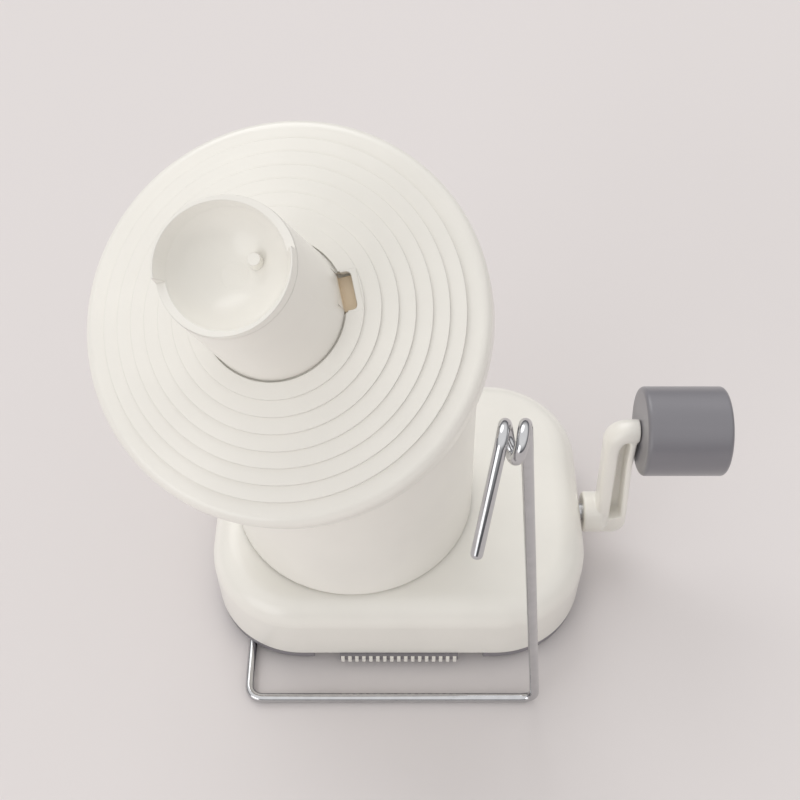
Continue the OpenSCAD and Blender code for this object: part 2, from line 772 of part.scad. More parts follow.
module spool() {
    solid_top = mouth_top - rim_step / 2 - 0.3;
    taper = (spool_foot_r - spool_mouth_r) / spool_h;
    bowl_r = spool_mouth_r - lip_w;
    // Radius of the ball that hollows the mouth
    ball_r = (bowl_r * bowl_r + bowl_depth * bowl_depth) / (2 * bowl_depth);
    ball_z = mouth_top - bowl_depth + ball_r;
    tube_r = spindle_r + 2.4;
    placed() color(white) on_spindle() spool_rim(solid_top - 0.2, taper, ball_r, ball_z);
    // Flat floor of the bowl, and a peg in it for the end of the yarn
    placed() color(white) on_spindle() translate([0, 0, mouth_top - bowl_depth - 1])
        cylinder(r = bowl_flat_r, h = 1 + bowl_flat_r * bowl_flat_r / ball_r / 3);
    placed() color(white) on_spindle() rotate(latch_dir + 15)
        translate([peg_at, 0, mouth_top - bowl_depth - 0.5])
            cylinder(r1 = peg_r, r2 = peg_r - 0.5, h = peg_h);
    placed() color(white) on_spindle() difference() {
        translate([0, 0, plate_top])
            cylinder(r1 = spool_foot_r, r2 = spool_foot_r - taper * (solid_top - plate_top),
                h = solid_top - plate_top);
        // Bowl in the mouth, open upwards
        translate([0, 0, ball_z]) sphere(ball_r, $fn = 96);
        // Hollow body round the tube that slips over the spindle
        difference() {
            translate([0, 0, plate_top - 1]) cylinder(r1 = spool_foot_r - spool_wall + taper,
                r2 = spool_foot_r - spool_wall - taper * (spool_h - bowl_depth - 4),
                h = spool_h - bowl_depth - 3);
            translate([0, 0, plate_top + 4]) cylinder(r = tube_r, h = far);
        }
        translate([0, 0, plate_top - 1]) cylinder(r = spindle_r + run_fit, h = spindle_top - plate_top + 2);
        // Notch for the latch
        rotate(latch_dir) translate([spool_foot_r - spool_wall - 3, -latch_w / 2 + 0.6, plate_top - 1])
            cube([far, latch_w - 1.2, latch_h + 1]);
    }
}
latch_h = 7;
bowl_flat_r = 4;
peg_r = 2;
peg_at = 5.8;
peg_h = 4.6;

module spool_latch() {
    // Springy tab in the spool's wall, whose toe hooks under the edge of the plate's window
    width = latch_w - 1.2 - 2 * move_gap;
    placed() color(white) on_spindle() rotate(latch_dir) translate([0, -width / 2, 0]) {
        translate([latch_face - latch_t, 0, plate_top - 4.2]) cube([latch_t, width, latch_h + 3.8]);
        translate([latch_face - 0.5, 0, plate_top - 4.2])
            cube([window_in + window_t - move_gap - latch_face + 0.5, width, 1.2]);
    }
}

module crank_shaft() {
    placed() color(steel) difference() {
        on_crank(shaft_in) cylinder(r = shaft_r, h = shaft_end - shaft_in);
        on_crank(shaft_end - screw_len) cylinder(r = screw_r + 0.02, h = far);
    }
}

module shaft_collar() {
    placed() color(steel) on_crank(bracket_x - move_gap - collar_l)
        ring(shaft_r + 3, shaft_r + 0.02, collar_l);
}

module crank_gear() {
    placed() color(nylon) difference() {
        union() {
            translate([drum_pr, 0, crank_h]) rotate([0, -90, 0])
                bevel_gear(crank_teeth, crank_pr, drum_pr, false);
            on_crank(drum_pr) cylinder(r = shaft_r + 3, h = gear_hub_l);
        }
        on_crank(shaft_in) cylinder(r = shaft_r + 0.02, h = far);
    }
}

// Outline of the arm in the plane of the shaft: along the shaft, and up
module arm_plan(inset) {
    hull() {
        translate([arm_round - arm_lean, arm_top - arm_round]) circle(arm_round - inset);
        translate([arm_w - arm_lean - 0.6 - inset, arm_top - 0.6 - inset]) circle(0.6);
        translate([arm_w - arm_round, arm_round - arm_hub_r]) circle(arm_round - inset);
        translate([0.6 + inset, 0.6 + inset - arm_hub_r]) circle(0.6);
    }
}

// Outline of the channel in the arm's face, up to the band that carries the knob
function arm_shift(z) = -arm_lean * z / arm_top;
module channel_plan() {
    low = -arm_hub_r;
    high = throw - knob_pin_r - 1.9;
    intersection() {
        arm_plan(1.4);
        polygon([for (c = [[arm_wall, low], [arm_w - arm_wall_out, low], [arm_w - arm_wall_out, high],
            [arm_wall, high]]) [c[0] + arm_shift(c[1]), c[1]]]);
    }
}

arm_stub_r = arm_d / 2 - 0.1;
screw_sink = 1.8;
module crank_arm() {
    placed() color(white) translate([arm_in, 0, crank_h]) difference() {
        union() {
            difference() {
                translate([0, arm_d / 2, 0]) rotate([90, 0, 0]) linear_extrude(arm_d) arm_plan(0);
                translate([0, arm_channel - arm_d / 2, 0]) rotate([90, 0, 0])
                    linear_extrude(arm_d) channel_plan();
            }
            translate([-hub_set, 0, 0]) rotate([0, 90, 0])
                cylinder(r = arm_hub_r, h = hub_set + hub_len - 1.5);
            // Stub towards the knob
            translate([pin_in - arm_in, 0, throw]) rotate([0, 90, 0])
                cylinder(r = arm_stub_r, h = knob_in - move_gap - pin_in);
        }
        translate([-hub_set - 1, 0, 0]) rotate([0, 90, 0])
            cylinder(r = shaft_r + 0.02, h = hub_set + hub_len - 2);
        translate([-1, 0, 0]) rotate([0, 90, 0]) cylinder(r = screw_r + 0.15, h = far);
        translate([arm_w - screw_sink, 0, 0]) rotate([0, 90, 0]) cylinder(r = screw_head_r + 0.2, h = far);
        translate([pin_in - arm_in, 0, throw]) rotate([0, 90, 0]) cylinder(r = knob_pin_r + 0.02, h = far);
    }
}

module crank_screw() {
    placed() color(steel) on_crank(arm_out - screw_sink) {
        difference() {
            cylinder(r = screw_head_r, h = 1.4);
            for (a = [0, 90]) rotate(a) translate([-1.8, -0.4, 0.7]) cube([3.6, 0.8, 2]);
        }
        translate([0, 0, 1 - arm_w + screw_sink - screw_len + hub_len - 3])
            cylinder(r = screw_r, h = arm_w - screw_sink + screw_len - hub_len + 2.1);
    }
}

// Places a child on the knob's axis, +Z away from the base
module on_knob(x) { translate([x, 0, crank_h + throw]) rotate([0, 90, 0]) children(); }

module knob_pin() {
    placed() color(steel) on_knob(pin_in)
        cylinder(r = knob_pin_r, h = knob_in + knob_l - knob_recess - pin_in + move_gap);
}

module knob() {
    placed() color(grey) on_knob(knob_in) difference() {
        rotate_extrude($fn = 96) {
            translate([0, knob_edge]) square([knob_r, knob_l - 2 * knob_edge]);
            square([knob_r - knob_edge, knob_l]);
            for (z = [knob_edge, knob_l - knob_edge]) translate([knob_r - knob_edge, z]) intersection() {
                circle(knob_edge);
                translate([0, z > knob_l / 2 ? 0 : -knob_edge]) square(knob_edge);
            }
        }
        translate([0, 0, -1]) cylinder(r = knob_pin_r + run_fit, h = far);
        translate([0, 0, knob_l - knob_recess]) cylinder(r = 5.5, h = far);
    }
}

module knob_screw() {
    placed() color(steel) on_knob(knob_in + knob_l - knob_recess + move_gap) difference() {
        cylinder(r = 4.4, h = 1.8);
        for (a = [0, 90]) rotate(a) translate([-2, -0.45, 0.8]) cube([4, 0.9, 2]);
    }
}

// Route of the wire: leg in the clip, front run, rod, eyelet and free end
rod_top_x = rod_x - rod_lean;
rod_y = -run_y + 1.2;
eye_y = rod_y - eye_r;
function bend(a, b, c, n) = let (u = (a - b) / norm(a - b), w = (c - b) / norm(c - b))
    [for (i = [0:n]) let (t = i / n, p = b + u * wire_bend * (1 - t), q = b + w * wire_bend * t)
        p + (q - p) * t];
function eye_point(a) = [rod_top_x - eye_pitch * a / 360, eye_y + eye_r * cos(a), eye_h + eye_r * sin(a)];
leg_end = [-leg_x, -clip_front + clip_len + 4, wire_r];
corner_l = [-leg_x, -run_y, wire_r];
corner_r = [rod_x, -run_y, wire_r];
eye_end = eye_point(eye_turn);
tail_way = unit([-0.2, -sin(tail_slope), cos(tail_slope)]);
tail_end = eye_end + tail_l * tail_way;
wire_route = concat([leg_end], bend(leg_end, corner_l, corner_r, 5),
    bend(corner_l, corner_r, eye_point(0), 5),
    [for (i = [0:eye_steps]) eye_point(eye_turn * i / eye_steps)],
    [for (i = [0:end_rings]) tail_end + wire_r * sin(80 * i / end_rings) * tail_way]);

// Round tube along a route, closed at both ends
function unit(v) = v / norm(v);
function heading(route, i) = let (n = len(route) - 1) unit(route[min(i + 1, n)] - route[max(i - 1, 0)]);
function carry(side, along) = unit(side - along * (side * along));
function sides_along(route, i = 0, side = [0, 0, 1]) = i == len(route) ? [] :
    let (s = carry(side, heading(route, i))) concat([s], sides_along(route, i + 1, s));
// The last few rings close in to round the free end
function ring_r(i, n, r) = r * cos(80 * max(0, i - n + end_rings) / end_rings);
module tube(route, r, n) {
    sides = sides_along(route);
    rings = [for (i = [0:len(route) - 1], k = [0:n - 1]) let (s = sides[i], t = cross(heading(route, i), s))
        route[i] + ring_r(i, len(route) - 1, r) * (s * cos(360 * k / n) + t * sin(360 * k / n))];
    walls = [for (i = [0:len(route) - 2], k = [0:n - 1], half = [0, 1])
        let (a = i * n, b = a + n, j = (k + 1) % n)
        half == 0 ? [a + k, b + k, b + j] : [a + k, b + j, a + j]];
    last = (len(route) - 1) * n;
    polyhedron(rings, concat(walls, [[for (k = [0:n - 1]) k], [for (k = [n - 1:-1:0]) last + k]]));
}

// The object's box on the table: plate at the left, knob at the right, wire in front, base behind
tilt_x = sin(tilt) * cos(spindle_dir + 90);
box_left = spindle_off * cos(spindle_dir) + tilt_x * (plate_edge - 0.28 * rim_round)
    - plate_r * sqrt(1 - tilt_x * tilt_x);
box_right = knob_in + knob_l;
box_front = tail_end[1] - wire_r;
box_back = base_off_y + base_d / 2;
origin = [(box_left + box_right) / 2, (box_front + box_back) / 2, 0];

module wire_guide() { placed() color(steel) tube(wire_route, wire_r, wire_sides); }

upper_shell();
lower_casing();
casing_screws();
rubber_feet();
suction_cup();
suction_stem();
suction_slider();
center_post();
fixed_gear();
post_screw();
thrust_washer();
shaft_bracket();
wall_bushing();
drum_body();
drum_lid();
lid_screws();
drum_gear();
spindle_shaft();
spindle_pinion();
spindle_bushing();
plate();
plate_nut();
spool();
spool_latch();
crank_shaft();
shaft_collar();
crank_gear();
crank_arm();
crank_screw();
knob_pin();
knob();
knob_screw();
wire_guide();
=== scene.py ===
"""Looks of the yarn ball winder: camera, studio, finishes and four pieces of the scene's own.

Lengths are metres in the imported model's frame: +Z up, +X towards the crank, +Y to the back.
The scene's own pieces are drawn in mm, and the function at() takes them to the frame.
"""

import math

import bmesh
import bpy
from mathutils import Matrix, Vector


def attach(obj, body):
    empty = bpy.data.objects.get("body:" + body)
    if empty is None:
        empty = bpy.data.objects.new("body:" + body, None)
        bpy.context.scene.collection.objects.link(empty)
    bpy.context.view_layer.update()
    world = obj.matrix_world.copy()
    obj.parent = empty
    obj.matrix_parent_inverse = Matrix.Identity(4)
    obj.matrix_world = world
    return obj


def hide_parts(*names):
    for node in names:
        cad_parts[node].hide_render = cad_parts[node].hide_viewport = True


# Camera, as the photograph was taken: a long look down from in front
CAMERA_AT = Vector((-0.00767, -0.19919, 0.358))
CAMERA_TILT_DEG = 38.0
CAMERA_LENS_MM = 52.2
CAMERA_NEAR = 0.01
SENSOR_MM = 36.0

# Floor
FLOOR_HALF = 20.0
FLOOR_DROP = 0.0002
FLOOR_COLOR = (0.765, 0.724, 0.718, 1.0)
FLOOR_ROUGHNESS = 0.75
FLOOR_SPECULAR = 0.2

# Surround: its light, what gloss mirrors of it, and what the camera sees past the floor; a band is
# the two heights between which a colour changes
SKY_LOW = (0.50, 0.49, 0.49, 1.0)
SKY_HIGH = (0.96, 0.95, 0.94, 1.0)
SKY_BAND = (0.05, 0.65)
SKY_STRENGTH = 0.86
MIRROR_LOW = (0.17, 0.17, 0.18, 1.0)
MIRROR_HIGH = (1.25, 1.25, 1.25, 1.0)
MIRROR_BAND = (0.12, 0.60)
BACKDROP = (0.888, 0.839, 0.828, 1.0)

# Lamps: name, where the light comes from, spread in degrees and strength
LAMPS = (
    ("key", (-0.30, 0.58, 0.73), 42.0, 0.72),
    ("fill", (-0.72, -0.83, 0.26), 40.0, 0.64),
)

# Noise of the finishes: its scale for tint, gloss and grain, and its detail for the same three
EVEN = (1.0, 1.0, 1.0)
PLASTIC_SCALES = (45.0, 60.0, 900.0)
METAL_SCALES = (300.0, 200.0, 2500.0)
TINT_DETAIL, GLOSS_DETAIL, GRAIN_DETAIL = 4.0, 2.0, 3.0
TINT_BAND = (0.35, 0.65)
GRAIN_DEPTH = 0.0001
EDGE_SAMPLES = 6
METAL_DRIFT = 0.04
METAL_GRAIN = 0.02
METAL_EDGE = 0.0002

# Colours that more than one finish has
WHITE = (0.875, 0.852, 0.795)
CASING_GREY = (0.235, 0.222, 0.240)

# Finishes; gloss is the low and high of the roughness
MOULDINGS = {
    "white_moulding": dict(color=WHITE, gloss=(0.26, 0.34), grain=0.05, edge=0.0003, coat=0.25),
    "grey_casing": dict(color=CASING_GREY, gloss=(0.36, 0.46), grain=0.08, drift=0.04),
    "grey_knob": dict(
        color=(0.190, 0.184, 0.203), gloss=(0.30, 0.42), grain=0.08, edge=0.0007,
        coat=0.6, coat_gloss=0.32, drift=0.07, stretch=(0.12, 1.0, 1.0),
    ),
    "natural_nylon": dict(color=(0.70, 0.67, 0.57), gloss=(0.38, 0.48), grain=0.08),
    "black_rubber": dict(color=(0.012, 0.012, 0.012), gloss=(0.62, 0.74), grain=0.15, drift=0.1),
}
METALS = {
    "drawn_steel": dict(color=(0.56, 0.56, 0.57), gloss=(0.22, 0.34)),
    "turned_brass": dict(color=(0.60, 0.42, 0.15), gloss=(0.24, 0.34)),
    "plated_wire": dict(color=(0.56, 0.56, 0.57), gloss=(0.05, 0.11)),
}

# Mouldings in two colours: the grip's white ribs in front of its grey slider, and the latch, white
# above the plate's top and painted with a shaded tan below it, where it sits in the window's shade
TWO_TONE_BLUR = 0.00005
TWO_TONE_GRAIN = 0.05
TWO_TONE_EDGE = 0.0002
GRIP_Y = -0.0309
GRIP_GLOSS = (0.30, 0.40)
# Painted shade: tan that darkens the latch's toe where it sits in the window below the plate's top
LATCH_PAINTED_SHADE = (0.80, 0.67, 0.50)
LATCH_LEVEL = 0.0352
LATCH_GLOSS = (0.34, 0.42)

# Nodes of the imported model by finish; those that the scene's own pieces replace are left out
NODES_BY_FINISH = {
    "white_moulding": ("upper_shell", "drum_body", "drum_lid", "plate", "spool"),
    "grip_moulding": ("suction_slider",),
    # The latch's finish paints shade, a tan, on its toe below the plate's top
    "latch_painted_shade": ("spool_latch",),
    "grey_casing": ("lower_casing",),
    "grey_knob": ("knob",),
    "drawn_steel": (
        "casing_screws", "center_post", "post_screw", "lid_screws", "spindle_shaft",
        "plate_nut", "crank_shaft", "shaft_collar", "crank_screw", "knob_screw",
    ),
    "natural_nylon": (
        "suction_stem", "fixed_gear", "thrust_washer", "shaft_bracket", "wall_bushing",
        "drum_gear", "spindle_pinion", "crank_gear",
    ),
    "black_rubber": ("rubber_feet", "suction_cup"),
    "turned_brass": ("spindle_bushing",),
}
SMOOTH_ANGLE_DEG = 32.0

# Drawing in mm from the middle of the drum's foot, where this point is the frame's origin
ORIGIN_MM = Vector((22.76987, -16.21398, 0.0))
MM_PER_M = 1000.0
TURN = 2.0 * math.pi

# Wire guide: leg, front run, leaning rod, coiled eyelet and free end
WIRE_R = 1.5
WIRE_SIDES = 24
WIRE_LEG = (-34.0, -17.0)
WIRE_RUN = (-34.0, 58.8, -59.6)
WIRE_BEND = 5.0
WIRE_BEND_STEPS = 10
EYE_AT = (43.8, -62.3, 146.8)
EYE_R = 3.9
EYE_PITCH = 4.6
EYE_TURN_DEG = 506.4
EYE_STEPS = 96
TAIL_L = 27.0

# Eased ends of the wire: place and share of the radius; the place is a share of the first stretch
# in the clip, and mm before the free end
CLIP_EASE = ((0.0, 0.55), (0.02, 1.0))
TAIL_EASE = ((1.2, 1.0), (0.7, 0.94), (0.3, 0.75), (0.0, 0.4))

# Crank arm, in the plane of X and Z: a bent bar that ends at the knob, a thin outer edge, a web
# and a foot; a size is width, depth and roundness, which is 0 for square and 1 for round
ARM_BAR = ((84.6, 14.8), (82.2, 57.5), (81.4, 66.5), (87.4, 66.5), (89.7, 66.5))
ARM_BAR_LOW = (4.7, 8.4, 0.5)
ARM_BAR_HIGH = (7.4, 7.5, 1.0)
ARM_BAR_SIDES = 28
ARM_STRAIGHT_STEPS = 6
ARM_BEND_STEPS = 14
ARM_EDGE = ((91.0, 16.5), (90.9, 24.0), (88.5, 52.0), (88.1, 64.0))
ARM_EDGE_SIZE = (2.3, 8.2, 0.45)
ARM_WEB = ((84.5, 15.0), (90.7, 16.5), (88.0, 53.0), (87.6, 65.0), (82.4, 65.0), (82.4, 57.5))
ARM_WEB_Y = (1.6, 3.9)
ARM_FOOT = ((81.6, 13.6), (88.4, 13.4), (90.8, 15.2), (92.0, 18.4), (91.8, 23.6), (84.4, 20.6))
ARM_FOOT_Y = (-4.2, 4.2)
ARM_VOXEL = 0.00028
ARM_SOFTEN = 0.5
ARM_SOFTEN_ROUNDS = 9

# Round forms along X, as pairs of place and radius: the arm's hub, its screw's seat, the knob's pin
CRANK_Z = 20.0
KNOB_Z = 66.5
LATHE_SIDES = 32
ARM_HUB = ((77.4, 6.4), (78.0, 7.0), (83.6, 7.0), (85.6, 5.0))
SCREW_SEAT = ((90.45, 3.1), (95.45, 3.1))
PIN = (
    (83.0, 1.1), (83.4, 1.5), (111.4, 1.5), (111.5, 1.25),
    (112.0, 1.25), (112.1, 1.5), (112.7, 1.5), (113.0, 1.2),
)

# Lip that narrows the latch's window in the plate, in the spindle's frame; its top follows the
# plate, level up to a radius and falling beyond it
SPINDLE_AT = Vector((-12.58905, 3.37323, 108.0))
SPINDLE_TILT_DEG = 31.0
SPINDLE_DIR_DEG = 345.0
LATCH_DIR_DEG = 25.0
WINDOW_END = 22.95
WINDOW_HALF = 5.55
SLOT_IN = 18.75
SLOT_END = 21.4
SLOT_HALF = 5.1
SLOT_ROUND = 1.3
SLOT_STEPS = 6
LIP_LOW = 33.1
LIP_TOP = 35.75
LIP_LEVEL_R = 19.2
LIP_SLOPE = 0.65 / 4.3

# Places of the colour sockets on a Mix node
MIX_A, MIX_B, MIX_OUT = 6, 7, 2


def at(x, y, z):
    """A point of the drawing, in the frame's metres."""
    return (Vector((x, y, z)) - ORIGIN_MM) / MM_PER_M


def spindle_turn():
    """Turn from the spindle's frame to the drawing's."""
    lean = Matrix.Rotation(math.radians(SPINDLE_TILT_DEG), 3, "X")
    return Matrix.Rotation(math.radians(SPINDLE_DIR_DEG), 3, "Z") @ lean


def new_material(name):
    """An empty node material, with its node tree and its shader."""
    material = bpy.data.materials.new(name)
    material.use_nodes = True
    return material, material.node_tree, material.node_tree.nodes["Principled BSDF"]


def object_noise(tree, scale, detail, stretch):
    """Noise in the object's own metres, drawn out along an axis where stretch is small."""
    coords = tree.nodes.new("ShaderNodeTexCoord")
    mapping = tree.nodes.new("ShaderNodeMapping")
    mapping.inputs["Scale"].default_value = stretch
    noise = tree.nodes.new("ShaderNodeTexNoise")
    noise.inputs["Scale"].default_value = scale
    noise.inputs["Detail"].default_value = detail
    tree.links.new(coords.outputs["Object"], mapping.inputs["Vector"])
    tree.links.new(mapping.outputs["Vector"], noise.inputs["Vector"])
    return noise.outputs["Fac"]


def color_ramp(tree, source, low, high, band=(0.0, 1.0)):
    """Colour that goes from low to high as the source crosses the band."""
    ramp = tree.nodes.new("ShaderNodeValToRGB")
    for element, color, place in zip(ramp.color_ramp.elements, (low, high), band):
        element.color = color
        element.position = place
    tree.links.new(source, ramp.inputs["Fac"])
    return ramp.outputs["Color"]


def add_tint(tree, shader, color, drift, scale, stretch):
    """Base colour that drifts a little darker and lighter over the surface."""
    dark = [c * (1.0 - drift) for c in color] + [1.0]
    light = [min(1.0, c * (1.0 + drift)) for c in color] + [1.0]
    noise = object_noise(tree, scale, TINT_DETAIL, stretch)
    tint = color_ramp(tree, noise, dark, light, TINT_BAND)
    tree.links.new(tint, shader.inputs["Base Color"])


def add_gloss(tree, shader, gloss, scale, stretch):
    """Roughness that drifts a little over the surface."""
    spread = tree.nodes.new("ShaderNodeMapRange")
    spread.inputs["To Min"].default_value, spread.inputs["To Max"].default_value = gloss
    tree.links.new(object_noise(tree, scale, GLOSS_DETAIL, stretch), spread.inputs["Value"])
    tree.links.new(spread.outputs["Result"], shader.inputs["Roughness"])


def add_grain(tree, shader, grain, edge, scale, stretch):
    """Fine grain over softened edges, on the shader's normal."""
    bump = tree.nodes.new("ShaderNodeBump")
    bump.inputs["Strength"].default_value = grain
    bump.inputs["Distance"].default_value = GRAIN_DEPTH
    soft = tree.nodes.new("ShaderNodeBevel")
    soft.samples = EDGE_SAMPLES
    soft.inputs["Radius"].default_value = edge
    tree.links.new(object_noise(tree, scale, GRAIN_DETAIL, stretch), bump.inputs["Height"])
    tree.links.new(soft.outputs["Normal"], bump.inputs["Normal"])
    tree.links.new(bump.outputs["Normal"], shader.inputs["Normal"])


def moulded(
    name, color, gloss, grain, edge=0.0004, coat=0.0, coat_gloss=0.12, drift=0.015, stretch=EVEN
):
    """Moulded plastic or rubber."""
    material, tree, shader = new_material(name)
    shader.inputs["Coat Weight"].default_value = coat
    shader.inputs["Coat Roughness"].default_value = coat_gloss
    tint_scale, gloss_scale, grain_scale = PLASTIC_SCALES
    add_tint(tree, shader, color, drift, tint_scale, stretch)
    add_gloss(tree, shader, gloss, gloss_scale, stretch)
    add_grain(tree, shader, grain, edge, grain_scale, stretch)
    return material


def metal(name, color, gloss):
    """Drawn, turned or plated metal."""
    material, tree, shader = new_material(name)
    shader.inputs["Metallic"].default_value = 1.0
    tint_scale, gloss_scale, grain_scale = METAL_SCALES
    add_tint(tree, shader, color, METAL_DRIFT, tint_scale, EVEN)
    add_gloss(tree, shader, gloss, gloss_scale, EVEN)
    add_grain(tree, shader, METAL_GRAIN, METAL_EDGE, grain_scale, EVEN)
    return material


def two_tone(name, near, far, way, level, gloss):
    """Two colours that meet at a plane, near before it along way and far beyond it: real two-tone,
    or painted shade.
    """
    material, tree, shader = new_material(name)
    coords = tree.nodes.new("ShaderNodeTexCoord")
    along = tree.nodes.new("ShaderNodeVectorMath")
    along.operation = "DOT_PRODUCT"
    along.inputs[1].default_value = way
    reach = tree.nodes.new("ShaderNodeMapRange")
    reach.inputs["From Min"].default_value = level - TWO_TONE_BLUR
    reach.inputs["From Max"].default_value = level + TWO_TONE_BLUR
    tree.links.new(coords.outputs["Object"], along.inputs[0])
    tree.links.new(along.outputs["Value"], reach.inputs["Value"])
    tint = color_ramp(tree, reach.outputs["Result"], (*near, 1.0), (*far, 1.0))
    tree.links.new(tint, shader.inputs["Base Color"])
    _, gloss_scale, grain_scale = PLASTIC_SCALES
    add_gloss(tree, shader, gloss, gloss_scale, EVEN)
    add_grain(tree, shader, TWO_TONE_GRAIN, TWO_TONE_EDGE, grain_scale, EVEN)
    return material


def smooth(piece):
    """Even shading, sharp only at real edges."""
    piece.data.shade_smooth()
    piece.data.set_sharp_from_angle(angle=math.radians(SMOOTH_ANGLE_DEG))


def dress(nodes):
    """Gives the model's nodes their finishes; returns all the finishes by name."""
    looks = {name: moulded(name, **look) for name, look in MOULDINGS.items()}
    looks.update({name: metal(name, **look) for name, look in METALS.items()})
    back = Vector((0.0, 1.0, 0.0))
    up = spindle_turn() @ Vector((0.0, 0.0, 1.0))
    plate_top = at(*SPINDLE_AT).dot(up) + LATCH_LEVEL
    for name, near, far, way, level, gloss in (
        ("grip_moulding", WHITE, CASING_GREY, back, GRIP_Y, GRIP_GLOSS),
        # Painted shade: tan on the latch below the plate's top, white above it
        ("latch_painted_shade", LATCH_PAINTED_SHADE, WHITE, up, plate_top, LATCH_GLOSS),
    ):
        looks[name] = two_tone(name, near, far, way, level, gloss)
    for name, painted in NODES_BY_FINISH.items():
        for node in painted:
            materials = nodes[node].data.materials
            materials.clear()
            materials.append(looks[name])
            smooth(nodes[node])
    return looks


def ring_angles(sides):
    """Angles of the points of a ring."""
    return [TURN * i / sides for i in range(sides)]


def curve(start, corner, stop, steps):
    """Points of a soft bend from start to stop, drawn towards the corner."""
    shares = [i / steps for i in range(steps + 1)]
    return [start.lerp(corner, s).lerp(corner.lerp(stop, s), s) for s in shares]


def loft(mesh, rings):
    """Skin through rings of points, closed at both ends."""
    rows = [[mesh.verts.new(point) for point in ring] for ring in rings]
    for low, high in zip(rows, rows[1:]):
        for i in range(len(low)):
            j = (i + 1) % len(low)
            mesh.faces.new((low[i], low[j], high[j], high[i]))
    mesh.faces.new(rows[0][::-1])
    mesh.faces.new(rows[-1])


def prism(mesh, outline, depths):
    """Solid over an outline in the plane of X and Z, between two depths."""
    loft(mesh, [[at(x, y, z) for x, z in outline] for y in depths])


def lathe_x(mesh, profile, z):
    """Round solid along X at height z, from pairs of place and radius."""
    turns = ring_angles(LATHE_SIDES)
    loft(mesh, [[at(x, r * math.cos(t), z + r * math.sin(t)) for t in turns] for x, r in profile])


def bar(mesh, path, sizes):
    """Bar along a path in the plane of X and Z, with a size at each point."""
    rings = []
    for i, (x, z) in enumerate(path):
        before, after = path[max(i - 1, 0)], path[min(i + 1, len(path) - 1)]
        way = Vector((after[0] - before[0], after[1] - before[1])).normalized()
        width, depth, power = sizes[i]
        ring = []
        for turn in ring_angles(ARM_BAR_SIDES):
            c, d = math.cos(turn), math.sin(turn)
            side = math.copysign(abs(c) ** power, c) * width / 2.0
            deep = math.copysign(abs(d) ** power, d) * depth / 2.0
            ring.append(at(x - way.y * side, deep, z + way.x * side))
        rings.append(ring)
    loft(mesh, rings)


def new_piece(name, mesh, material):
    """Object of a built mesh, with outward faces."""
    bmesh.ops.recalc_face_normals(mesh, faces=mesh.faces)
    data = bpy.data.meshes.new(name)
    mesh.to_mesh(data)
    mesh.free()
    data.materials.append(material)
    piece = bpy.data.objects.new(name, data)
    bpy.context.scene.collection.objects.link(piece)
    return piece


def bake_modifiers(piece):
    """Applies the piece's modifiers to its mesh."""
    graph = bpy.context.evaluated_depsgraph_get()
    data = bpy.data.meshes.new_from_object(piece.evaluated_get(graph))
    data.name = piece.name
    piece.modifiers.clear()
    piece.data = data


def arm_bar():
    """Path and sizes of the arm's bar: straight up, round a bend, and on to the knob."""
    start, knee, corner, turned, end = [Vector(point) for point in ARM_BAR]
    straight = [start.lerp(knee, i / ARM_STRAIGHT_STEPS) for i in range(ARM_STRAIGHT_STEPS)]
    bend = curve(knee, corner, turned, ARM_BEND_STEPS)
    path = [tuple(point) for point in straight + bend + [end]]
    shares = [0.0] * len(straight) + [i / ARM_BEND_STEPS for i in range(len(bend))] + [1.0]
    sizes = [
        [low + (high - low) * share for low, high in zip(ARM_BAR_LOW, ARM_BAR_HIGH)]
        for share in shares
    ]
    return path, sizes


def add_arm(white):
    """Moulded crank arm, all its parts run together with soft joints."""
    mesh = bmesh.new()
    bar(mesh, *arm_bar())
    bar(mesh, ARM_EDGE, [ARM_EDGE_SIZE] * len(ARM_EDGE))
    prism(mesh, ARM_WEB, ARM_WEB_Y)
    prism(mesh, ARM_FOOT, ARM_FOOT_Y)
    lathe_x(mesh, ARM_HUB, CRANK_Z)
    arm = new_piece("moulded_arm", mesh, white)
    remesh = arm.modifiers.new("remesh", "REMESH")
    remesh.mode = "VOXEL"
    remesh.voxel_size = ARM_VOXEL
    soften = arm.modifiers.new("soften", "SMOOTH")
    soften.factor = ARM_SOFTEN
    soften.iterations = ARM_SOFTEN_ROUNDS
    cut = bmesh.new()
    lathe_x(cut, SCREW_SEAT, CRANK_Z)
    cutter = new_piece("seat_cutter", cut, white)
    seat = arm.modifiers.new("seat", "BOOLEAN")
    seat.object = cutter
    seat.operation = "DIFFERENCE"
    bake_modifiers(arm)
    bpy.data.objects.remove(cutter)
    smooth(arm)
    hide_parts("crank_arm")
    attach(arm, "crank")


def add_pin(steel):
    """Turned pin that carries the knob, with a groove near its outer end."""
    mesh = bmesh.new()
    lathe_x(mesh, PIN, KNOB_Z)
    pin = new_piece("turned_pin", mesh, steel)
    smooth(pin)
    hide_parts("knob_pin")
    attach(pin, "crank")


def eye_point(turn):
    """Middle of the wire in the coiled eyelet, after a turn in radians."""
    x, y, z = EYE_AT
    coil = (x - EYE_PITCH * turn / TURN, y + EYE_R * math.cos(turn), z + EYE_R * math.sin(turn))
    return Vector(coil)


def wire_bend(before, corner, after):
    """Points of the wire's bend at a corner."""
    start = corner + (before - corner).normalized() * WIRE_BEND
    stop = corner + (after - corner).normalized() * WIRE_BEND
    return curve(start, corner, stop, WIRE_BEND_STEPS)


def wire_route():
    """Middle of the guide's wire, from the end in the clip to the free end."""
    left, right, front = WIRE_RUN
    leg = Vector((*WIRE_LEG, WIRE_R))
    corner_left, corner_right = Vector((left, front, WIRE_R)), Vector((right, front, WIRE_R))
    full = math.radians(EYE_TURN_DEG)
    coil = [eye_point(full * i / EYE_STEPS) for i in range(EYE_STEPS + 1)]
    tail = coil[-1] + (coil[-1] - coil[-2]).normalized() * TAIL_L
    route = [leg] + wire_bend(leg, corner_left, corner_right)
    route += wire_bend(corner_left, corner_right, coil[0])
    return route + coil + [tail]


